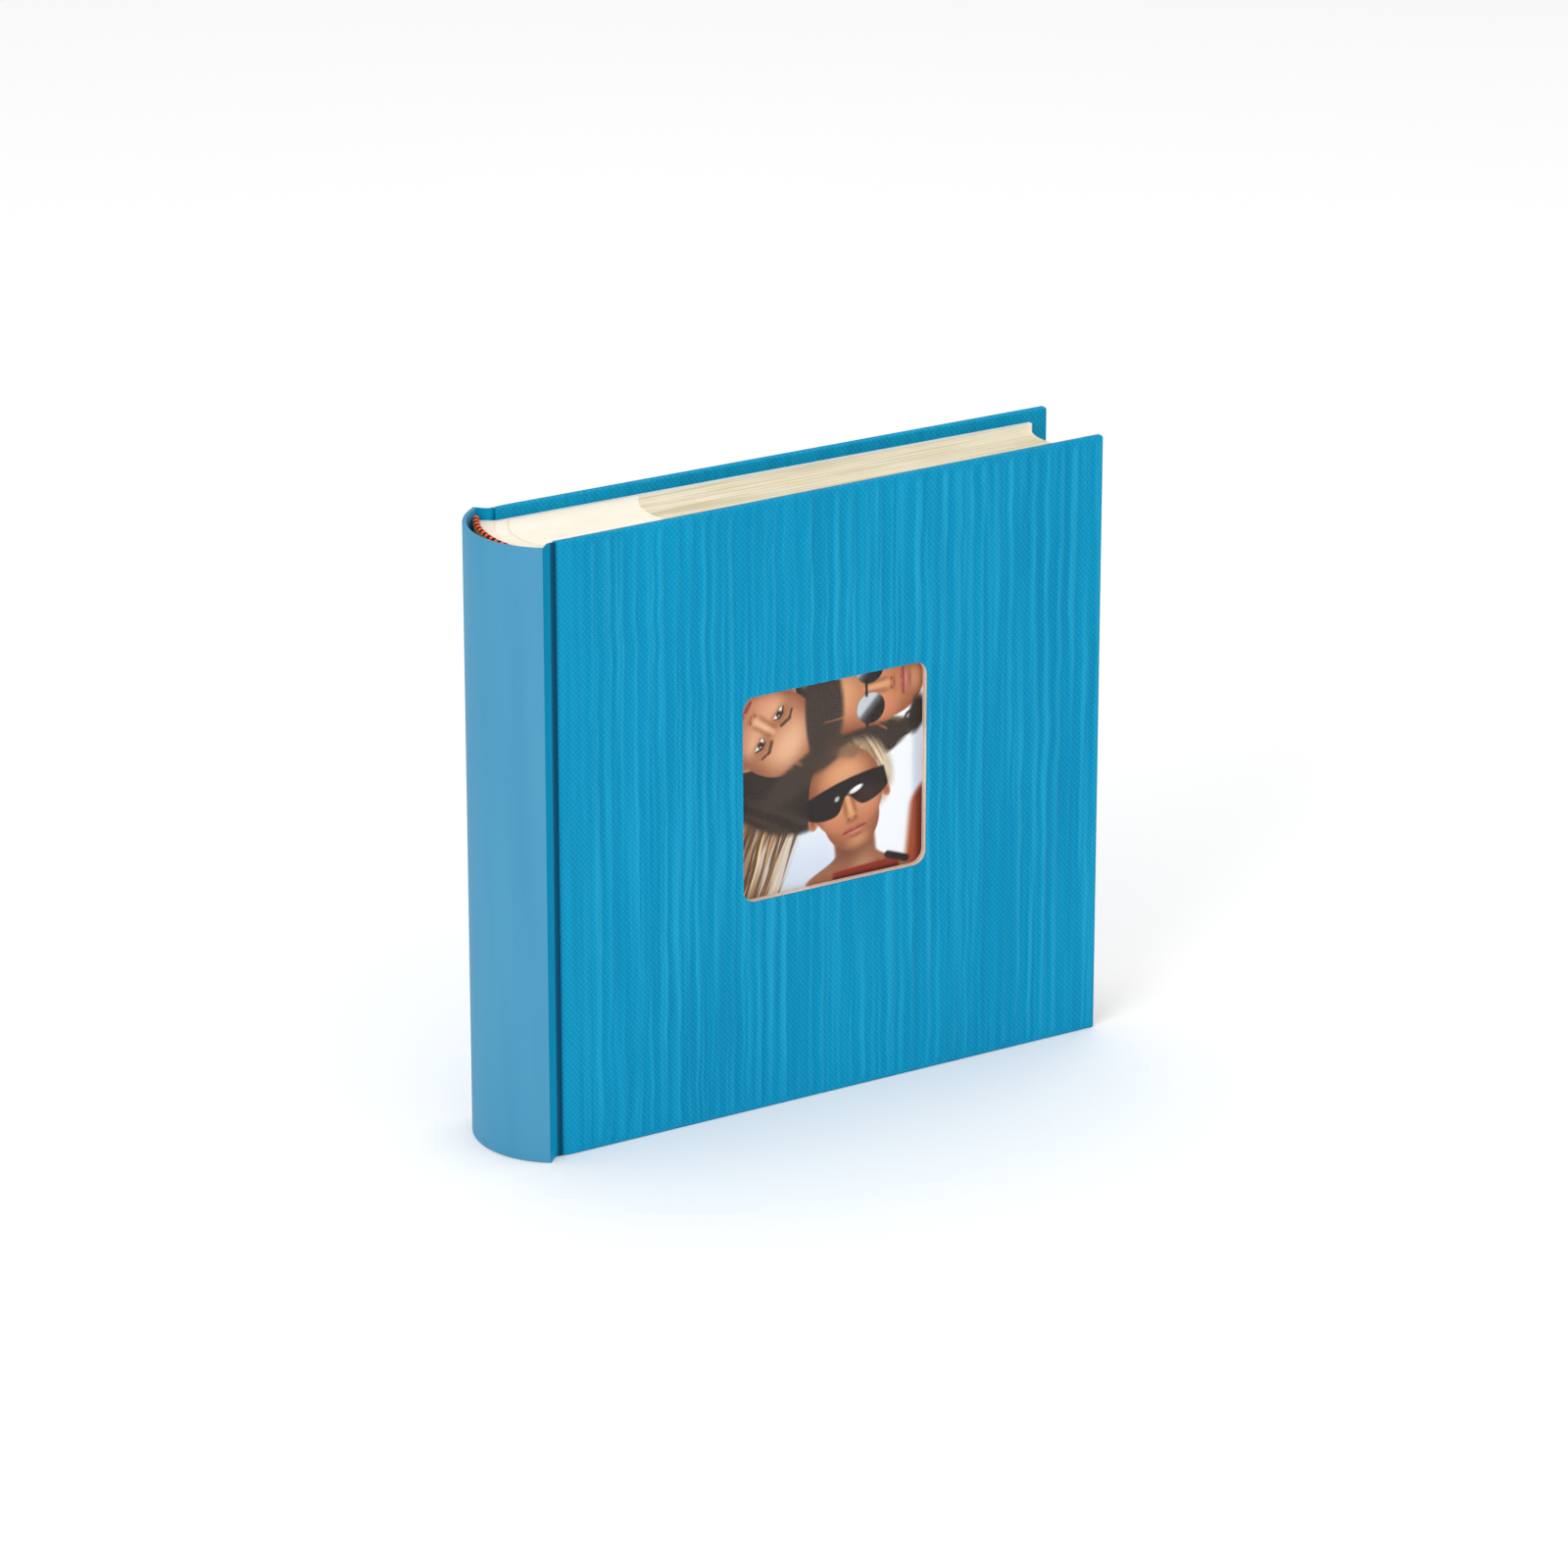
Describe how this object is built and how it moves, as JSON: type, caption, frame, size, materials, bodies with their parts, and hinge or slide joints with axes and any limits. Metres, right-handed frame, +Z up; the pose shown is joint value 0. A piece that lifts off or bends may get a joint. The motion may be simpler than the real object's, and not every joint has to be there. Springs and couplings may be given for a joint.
{
  "type": "photo album",
  "caption": "Case-bound photo album with ribbed covers, a picture window, a rounded spine and pocket leaves with a writing strip; covers and sections of leaves open on hinges.",
  "frame": {"origin": "middle of the album's footprint, on the surface its tail edges stand on", "axes": "+Z up along the spine, +X from the spine to the fore-edge, front cover facing -Y"},
  "size_m": [0.24, 0.05, 0.225],
  "materials": {
    "ribbed_cover": "ribbed leatherette, satin",
    "spine_cloth": "smooth leatherette, satin",
    "groove_cloth": "pressed leatherette, satin",
    "greyboard": "raw cut greyboard, matt",
    "endpaper": "uncoated, matt",
    "leaf_paper": "uncoated, matt",
    "pocket_card": "uncoated, matt",
    "clear_film": "clear, glossy",
    "printed_card": "coated print, satin",
    "band_cord": "striped woven cord",
    "gauze": "open weave, matt",
    "kraft_paper": "uncoated, matt"
  },
  "bodies": {
    "spine": {"spine_strip": "greyboard", "spine_wrap": "spine_cloth", "front_joint_wrap": "groove_cloth", "back_joint_wrap": "groove_cloth", "front_endpaper_fold": "endpaper", "back_endpaper_fold": "endpaper", "head_band": "band_cord", "tail_band": "band_cord", "spine_mull": "gauze", "spine_lining": "kraft_paper", "spine_guards": "leaf_paper"},
    "front_cover": {"front_board": "greyboard", "front_cover_wrap": "ribbed_cover", "window_film": "clear_film", "cover_picture": "printed_card", "front_pastedown": "endpaper"},
    "back_cover": {"back_board": "greyboard", "back_cover_wrap": "ribbed_cover", "back_pastedown": "endpaper"},
    "front_fly": {"front_flyleaf": "endpaper", "front_flyleaf_hinge": "endpaper"},
    "back_fly": {"back_flyleaf": "endpaper", "back_flyleaf_hinge": "endpaper"},
    "section_01": {"memo_strips_01": "leaf_paper", "pocket_backs_01": "pocket_card", "pocket_films_01": "clear_film"},
    "section_02": {"memo_strips_02": "leaf_paper", "pocket_backs_02": "pocket_card", "pocket_films_02": "clear_film"},
    "section_03": {"memo_strips_03": "leaf_paper", "pocket_backs_03": "pocket_card", "pocket_films_03": "clear_film"},
    "section_04": {"memo_strips_04": "leaf_paper", "pocket_backs_04": "pocket_card", "pocket_films_04": "clear_film"},
    "section_05": {"memo_strips_05": "leaf_paper", "pocket_backs_05": "pocket_card", "pocket_films_05": "clear_film"},
    "section_06": {"memo_strips_06": "leaf_paper", "pocket_backs_06": "pocket_card", "pocket_films_06": "clear_film"},
    "section_07": {"memo_strips_07": "leaf_paper", "pocket_backs_07": "pocket_card", "pocket_films_07": "clear_film"},
    "section_08": {"memo_strips_08": "leaf_paper", "pocket_backs_08": "pocket_card", "pocket_films_08": "clear_film"},
    "section_09": {"memo_strips_09": "leaf_paper", "pocket_backs_09": "pocket_card", "pocket_films_09": "clear_film"},
    "section_10": {"memo_strips_10": "leaf_paper", "pocket_backs_10": "pocket_card", "pocket_films_10": "clear_film"},
    "section_11": {"memo_strips_11": "leaf_paper", "pocket_backs_11": "pocket_card", "pocket_films_11": "clear_film"},
    "section_12": {"memo_strips_12": "leaf_paper", "pocket_backs_12": "pocket_card", "pocket_films_12": "clear_film"}
  },
  "joints": [
    {"name": "front_cover_hinge", "type": "hinge", "parent": "spine", "child": "front_cover", "pos_m": [-0.1041, -0.0242, 0.1125], "axis": [0, 0, -1], "range_deg": [0, 175], "deforming": ["front_joint_wrap", "front_endpaper_fold"]},
    {"name": "back_cover_hinge", "type": "hinge", "parent": "spine", "child": "back_cover", "pos_m": [-0.1041, 0.0242, 0.1125], "axis": [0, 0, 1], "range_deg": [0, 175], "deforming": ["back_joint_wrap", "back_endpaper_fold"]},
    {"name": "front_flyleaf_turn", "type": "hinge", "parent": "spine", "child": "front_fly", "pos_m": [-0.096, -0.01788, 0.1125], "axis": [0, 0, -1], "range_deg": [0, 94.5], "deforming": ["front_flyleaf_hinge"]},
    {"name": "back_flyleaf_turn", "type": "hinge", "parent": "spine", "child": "back_fly", "pos_m": [-0.096, 0.01788, 0.1125], "axis": [0, 0, 1], "range_deg": [0, 94.5], "deforming": ["back_flyleaf_hinge"]},
    {"name": "section_01_turn", "type": "hinge", "parent": "spine", "child": "section_01", "pos_m": [-0.096, -0.01604, 0.1125], "axis": [0, 0, -1], "range_deg": [0, 82.25], "deforming": ["memo_strips_01"]},
    {"name": "section_02_turn", "type": "hinge", "parent": "spine", "child": "section_02", "pos_m": [-0.096, -0.01311, 0.1125], "axis": [0, 0, -1], "range_deg": [0, 68.25], "deforming": ["memo_strips_02"]},
    {"name": "section_03_turn", "type": "hinge", "parent": "spine", "child": "section_03", "pos_m": [-0.096, -0.01019, 0.1125], "axis": [0, 0, -1], "range_deg": [0, 54.25], "deforming": ["memo_strips_03"]},
    {"name": "section_04_turn", "type": "hinge", "parent": "spine", "child": "section_04", "pos_m": [-0.096, -0.00727, 0.1125], "axis": [0, 0, -1], "range_deg": [0, 40.25], "deforming": ["memo_strips_04"]},
    {"name": "section_05_turn", "type": "hinge", "parent": "spine", "child": "section_05", "pos_m": [-0.096, -0.00436, 0.1125], "axis": [0, 0, -1], "range_deg": [0, 26.25], "deforming": ["memo_strips_05"]},
    {"name": "section_06_turn", "type": "hinge", "parent": "spine", "child": "section_06", "pos_m": [-0.096, -0.00145, 0.1125], "axis": [0, 0, -1], "range_deg": [0, 12.25], "deforming": ["memo_strips_06"]},
    {"name": "section_07_turn", "type": "hinge", "parent": "spine", "child": "section_07", "pos_m": [-0.096, 0.00145, 0.1125], "axis": [0, 0, 1], "range_deg": [0, 12.25], "deforming": ["memo_strips_07"]},
    {"name": "section_08_turn", "type": "hinge", "parent": "spine", "child": "section_08", "pos_m": [-0.096, 0.00436, 0.1125], "axis": [0, 0, 1], "range_deg": [0, 26.25], "deforming": ["memo_strips_08"]},
    {"name": "section_09_turn", "type": "hinge", "parent": "spine", "child": "section_09", "pos_m": [-0.096, 0.00727, 0.1125], "axis": [0, 0, 1], "range_deg": [0, 40.25], "deforming": ["memo_strips_09"]},
    {"name": "section_10_turn", "type": "hinge", "parent": "spine", "child": "section_10", "pos_m": [-0.096, 0.01019, 0.1125], "axis": [0, 0, 1], "range_deg": [0, 54.25], "deforming": ["memo_strips_10"]},
    {"name": "section_11_turn", "type": "hinge", "parent": "spine", "child": "section_11", "pos_m": [-0.096, 0.01311, 0.1125], "axis": [0, 0, 1], "range_deg": [0, 68.25], "deforming": ["memo_strips_11"]},
    {"name": "section_12_turn", "type": "hinge", "parent": "spine", "child": "section_12", "pos_m": [-0.096, 0.01604, 0.1125], "axis": [0, 0, 1], "range_deg": [0, 82.25], "deforming": ["memo_strips_12"]}
  ],
  "couplings": [
    {"joint": "front_flyleaf_turn", "follows": "front_cover_hinge", "ratio": 0.54},
    {"joint": "back_flyleaf_turn", "follows": "back_cover_hinge", "ratio": 0.54},
    {"joint": "section_01_turn", "follows": "front_cover_hinge", "ratio": 0.47},
    {"joint": "section_02_turn", "follows": "front_cover_hinge", "ratio": 0.39},
    {"joint": "section_03_turn", "follows": "front_cover_hinge", "ratio": 0.31},
    {"joint": "section_04_turn", "follows": "front_cover_hinge", "ratio": 0.23},
    {"joint": "section_05_turn", "follows": "front_cover_hinge", "ratio": 0.15},
    {"joint": "section_06_turn", "follows": "front_cover_hinge", "ratio": 0.07},
    {"joint": "section_07_turn", "follows": "back_cover_hinge", "ratio": 0.07},
    {"joint": "section_08_turn", "follows": "back_cover_hinge", "ratio": 0.15},
    {"joint": "section_09_turn", "follows": "back_cover_hinge", "ratio": 0.23},
    {"joint": "section_10_turn", "follows": "back_cover_hinge", "ratio": 0.31},
    {"joint": "section_11_turn", "follows": "back_cover_hinge", "ratio": 0.39},
    {"joint": "section_12_turn", "follows": "back_cover_hinge", "ratio": 0.47}
  ]
}
